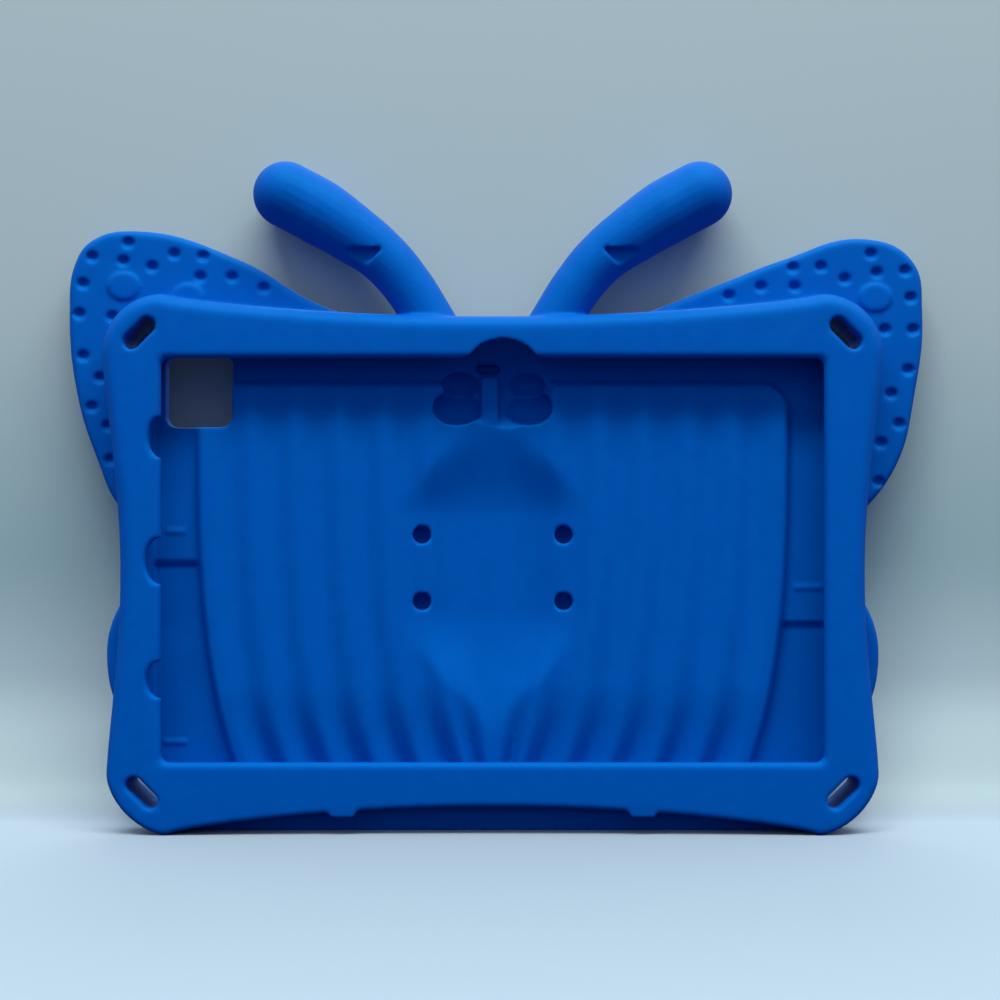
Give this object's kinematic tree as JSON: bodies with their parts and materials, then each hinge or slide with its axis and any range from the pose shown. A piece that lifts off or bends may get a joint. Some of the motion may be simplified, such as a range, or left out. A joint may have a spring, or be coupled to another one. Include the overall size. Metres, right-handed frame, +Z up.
{
  "type": "kids tablet case",
  "caption": "Soft foam bumper case for a tablet, shaped as a butterfly with dimpled wings, club-ended antennae and an overhanging lip round the screen opening.",
  "frame": {"origin": "on the surface that the case stands on, under the middle of its bounding box", "axes": "+X along the width, from the camera window's side to the plain side; +Y from the screen side to the back; +Z up along the height, from the lower edge to the antennae"},
  "size_m": [0.3076, 0.026, 0.2368],
  "materials": {
    "foam": "matte closed-cell foam, moulded, saturated blue"
  },
  "bodies": {
    "root": {"foam_case": "foam"}
  },
  "joints": []
}
